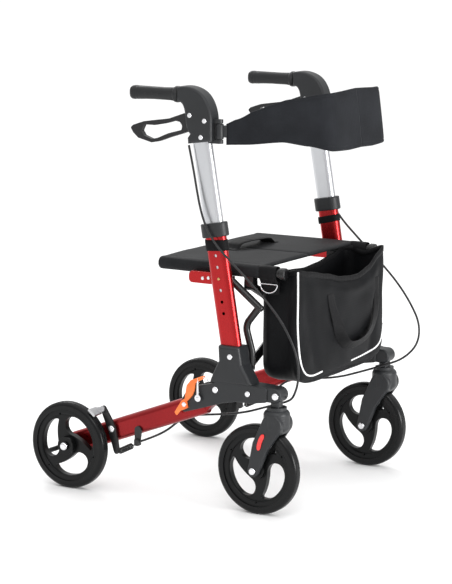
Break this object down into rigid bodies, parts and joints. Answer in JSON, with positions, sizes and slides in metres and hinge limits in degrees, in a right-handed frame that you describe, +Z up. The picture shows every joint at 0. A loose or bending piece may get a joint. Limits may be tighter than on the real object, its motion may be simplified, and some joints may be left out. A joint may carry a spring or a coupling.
{
  "type": "rollator walker",
  "caption": "Folding side-fold rollator walker with height-adjustable handles, loop brakes, fabric seat, backrest band, bag and swivelling front wheels.",
  "frame": {"origin": "bottom centre of the whole walker's bounding box, on the floor", "axes": "+X forward (walking direction), +Y to the walker's left, +Z up"},
  "size_m": [0.712, 0.63, 0.9272],
  "materials": {
    "red_frame": "satin",
    "silver_tube": "satin",
    "black_plastic": "satin",
    "lever_plastic": "satin",
    "wheel_plastic": "satin",
    "orange_plastic": "gloss",
    "black_metal": "gloss",
    "bright_steel": "polished",
    "steel": "satin",
    "black_spring": "satin",
    "brass_button": "satin",
    "grip_rubber": "matte",
    "tyre": "matte",
    "cable_jacket": "satin",
    "seat_fabric": "matte",
    "backrest_fabric": "matte",
    "bag_fabric": "satin"
  },
  "bodies": {
    "frame_right": {"upright_right": "red_frame", "collar_right": "black_plastic", "hub_right": "black_plastic", "frame_fasteners_right": "bright_steel", "side_rail_right": "red_frame", "strut_right": "black_metal", "cable_upper_right": "cable_jacket"},
    "handle_right": {"handle_tube_right": "silver_tube", "handle_bracket_right": "black_plastic", "handle_screws_right": "bright_steel", "grip_right": "grip_rubber"},
    "button_right": {"snap_button_right": "brass_button"},
    "lever_right": {"brake_lever_right": "lever_plastic"},
    "leg_right": {"rear_leg_right": "red_frame", "leg_fasteners_right": "bright_steel", "brake_spring_right": "black_spring", "cable_lower_right": "cable_jacket"},
    "brake_right": {"brake_arm_right": "black_metal", "brake_shoe_right": "steel"},
    "latch_body_right": {"latch_right": "orange_plastic"},
    "caster_right": {"caster_fork_right": "black_plastic", "caster_hardware_right": "bright_steel"},
    "front_wheel_right": {"front_rim_right": "wheel_plastic", "front_tyre_right": "tyre"},
    "rear_wheel_right": {"rear_rim_right": "wheel_plastic", "rear_tyre_right": "tyre"},
    "frame_left": {"upright_left": "red_frame", "collar_left": "black_plastic", "hub_left": "black_plastic", "frame_fasteners_left": "bright_steel", "side_rail_left": "red_frame", "strut_left": "black_metal", "cable_upper_left": "cable_jacket"},
    "handle_left": {"handle_tube_left": "silver_tube", "handle_bracket_left": "black_plastic", "handle_screws_left": "bright_steel", "grip_left": "grip_rubber"},
    "button_left": {"snap_button_left": "brass_button"},
    "lever_left": {"brake_lever_left": "lever_plastic"},
    "leg_left": {"rear_leg_left": "red_frame", "leg_fasteners_left": "bright_steel", "brake_spring_left": "black_spring", "cable_lower_left": "cable_jacket"},
    "brake_left": {"brake_arm_left": "black_metal", "brake_shoe_left": "steel"},
    "latch_body_left": {"latch_left": "orange_plastic"},
    "caster_left": {"caster_fork_left": "black_plastic", "caster_hardware_left": "bright_steel"},
    "front_wheel_left": {"front_rim_left": "wheel_plastic", "front_tyre_left": "tyre"},
    "rear_wheel_left": {"rear_rim_left": "wheel_plastic", "rear_tyre_left": "tyre"},
    "brace_a": {"brace_rear": "black_metal", "brace_bolt": "bright_steel"},
    "brace_b": {"brace_front": "black_metal"},
    "seat_half_right": {"seat_right": "seat_fabric"},
    "seat_half_left": {"seat_left": "seat_fabric"},
    "band_right": {"backrest_right": "backrest_fabric"},
    "band_left": {"backrest_left": "backrest_fabric"},
    "bag_body": {"bag": "bag_fabric"}
  },
  "joints": [
    {"name": "fold", "type": "hinge", "parent": "frame_right", "child": "brace_a", "pos_m": [0.152, -0.205, 0.29], "axis": [1, 0, 0], "range_deg": [0, 49], "deforming": ["bag"]},
    {"name": "brace_cross", "type": "hinge", "parent": "brace_a", "child": "brace_b", "pos_m": [0.164, 0, 0.3925], "axis": [1, 0, 0], "range_deg": [-98, 0]},
    {"name": "frame_left_fold", "type": "hinge", "parent": "brace_b", "child": "frame_left", "pos_m": [0.176, 0.205, 0.29], "axis": [1, 0, 0], "range_deg": [0, 49]},
    {"name": "seat_fold_right", "type": "hinge", "parent": "brace_b", "child": "seat_half_right", "pos_m": [0.074, -0.205, 0.527], "axis": [1, 0, 0], "range_deg": [0, 147]},
    {"name": "seat_fold_left", "type": "hinge", "parent": "brace_a", "child": "seat_half_left", "pos_m": [0.074, 0.205, 0.527], "axis": [1, 0, 0], "range_deg": [-147, 0]},
    {"name": "bag_hang", "type": "hinge", "parent": "brace_b", "child": "bag_body", "pos_m": [0.234, -0.205, 0.527], "axis": [1, 0, 0], "range_deg": [0, 49]},
    {"name": "handle_height_right", "type": "slide", "parent": "frame_right", "child": "handle_right", "axis": [-0.165, 0, 0.9863], "range_m": [-0.075, 0.05], "deforming": ["snap_button_right", "cable_upper_right"]},
    {"name": "button_press_right", "type": "slide", "parent": "handle_right", "child": "button_right", "axis": [0, 1, 0], "range_m": [0, 0.005], "stiffness_N_per_m": 500, "springref_m": -0.003},
    {"name": "brake_squeeze_right", "type": "hinge", "parent": "handle_right", "child": "lever_right", "pos_m": [0.0596, -0.25, 0.865], "axis": [0, 1, 0], "range_deg": [0, 12], "stiffness_Nm_per_rad": 2, "springref_deg": -8.59},
    {"name": "brake_apply_right", "type": "hinge", "parent": "leg_right", "child": "brake_right", "pos_m": [-0.151, -0.268, 0.146], "axis": [0, 1, 0], "range_deg": [-4.6, 0], "deforming": ["brake_spring_right"]},
    {"name": "leg_fold_right", "type": "hinge", "parent": "frame_right", "child": "leg_right", "pos_m": [0.127, -0.25, 0.269], "axis": [0, 1, 0], "range_deg": [0, 62], "deforming": ["cable_lower_right"]},
    {"name": "latch_release_right", "type": "hinge", "parent": "frame_right", "child": "latch_body_right", "pos_m": [0.0485, -0.2754, 0.228], "axis": [0, 1, 0], "range_deg": [-25, 0], "stiffness_Nm_per_rad": 0.2, "springref_deg": 17.19},
    {"name": "caster_swivel_right", "type": "hinge", "parent": "frame_right", "child": "caster_right", "pos_m": [0.269, -0.25, 0.24], "axis": [0, 0, 1], "continuous": true},
    {"name": "front_wheel_spin_right", "type": "hinge", "parent": "caster_right", "child": "front_wheel_right", "pos_m": [0.224, -0.25, 0.1], "axis": [0, 1, 0], "continuous": true},
    {"name": "rear_wheel_spin_right", "type": "hinge", "parent": "leg_right", "child": "rear_wheel_right", "pos_m": [-0.256, -0.286, 0.1], "axis": [0, 1, 0], "continuous": true},
    {"name": "backrest_fold_right", "type": "hinge", "parent": "handle_right", "child": "band_right", "pos_m": [0.124, -0.25, 0.832], "axis": [0, 0, 1], "range_deg": [-34.3, 0]},
    {"name": "handle_height_left", "type": "slide", "parent": "frame_left", "child": "handle_left", "axis": [-0.165, 0, 0.9863], "range_m": [-0.075, 0.05], "deforming": ["snap_button_left", "cable_upper_left"]},
    {"name": "button_press_left", "type": "slide", "parent": "handle_left", "child": "button_left", "axis": [0, -1, 0], "range_m": [0, 0.005], "stiffness_N_per_m": 500, "springref_m": -0.003},
    {"name": "brake_squeeze_left", "type": "hinge", "parent": "handle_left", "child": "lever_left", "pos_m": [0.0596, 0.25, 0.865], "axis": [0, 1, 0], "range_deg": [0, 12], "stiffness_Nm_per_rad": 2, "springref_deg": -8.59},
    {"name": "brake_apply_left", "type": "hinge", "parent": "leg_left", "child": "brake_left", "pos_m": [-0.151, 0.268, 0.146], "axis": [0, 1, 0], "range_deg": [-4.6, 0], "deforming": ["brake_spring_left"]},
    {"name": "leg_fold_left", "type": "hinge", "parent": "frame_left", "child": "leg_left", "pos_m": [0.127, 0.25, 0.269], "axis": [0, 1, 0], "range_deg": [0, 62], "deforming": ["cable_lower_left"]},
    {"name": "latch_release_left", "type": "hinge", "parent": "frame_left", "child": "latch_body_left", "pos_m": [0.0485, 0.2754, 0.228], "axis": [0, 1, 0], "range_deg": [-25, 0], "stiffness_Nm_per_rad": 0.2, "springref_deg": 17.19},
    {"name": "caster_swivel_left", "type": "hinge", "parent": "frame_left", "child": "caster_left", "pos_m": [0.269, 0.25, 0.24], "axis": [0, 0, 1], "continuous": true},
    {"name": "front_wheel_spin_left", "type": "hinge", "parent": "caster_left", "child": "front_wheel_left", "pos_m": [0.224, 0.25, 0.1], "axis": [0, 1, 0], "continuous": true},
    {"name": "rear_wheel_spin_left", "type": "hinge", "parent": "leg_left", "child": "rear_wheel_left", "pos_m": [-0.256, 0.286, 0.1], "axis": [0, 1, 0], "continuous": true},
    {"name": "backrest_fold_left", "type": "hinge", "parent": "handle_left", "child": "band_left", "pos_m": [0.124, 0.25, 0.832], "axis": [0, 0, 1], "range_deg": [0, 34.3]}
  ],
  "couplings": [
    {"joint": "brace_cross", "follows": "fold", "ratio": -2},
    {"joint": "frame_left_fold", "follows": "fold", "ratio": 1},
    {"joint": "seat_fold_right", "follows": "fold", "ratio": 3},
    {"joint": "seat_fold_left", "follows": "fold", "ratio": -3},
    {"joint": "bag_hang", "follows": "fold", "ratio": 1},
    {"joint": "brake_apply_right", "follows": "brake_squeeze_right", "ratio": -0.38},
    {"joint": "backrest_fold_right", "follows": "fold", "ratio": -0.7},
    {"joint": "handle_height_left", "follows": "handle_height_right", "ratio": 1},
    {"joint": "brake_apply_left", "follows": "brake_squeeze_left", "ratio": -0.38},
    {"joint": "backrest_fold_left", "follows": "fold", "ratio": 0.7}
  ]
}
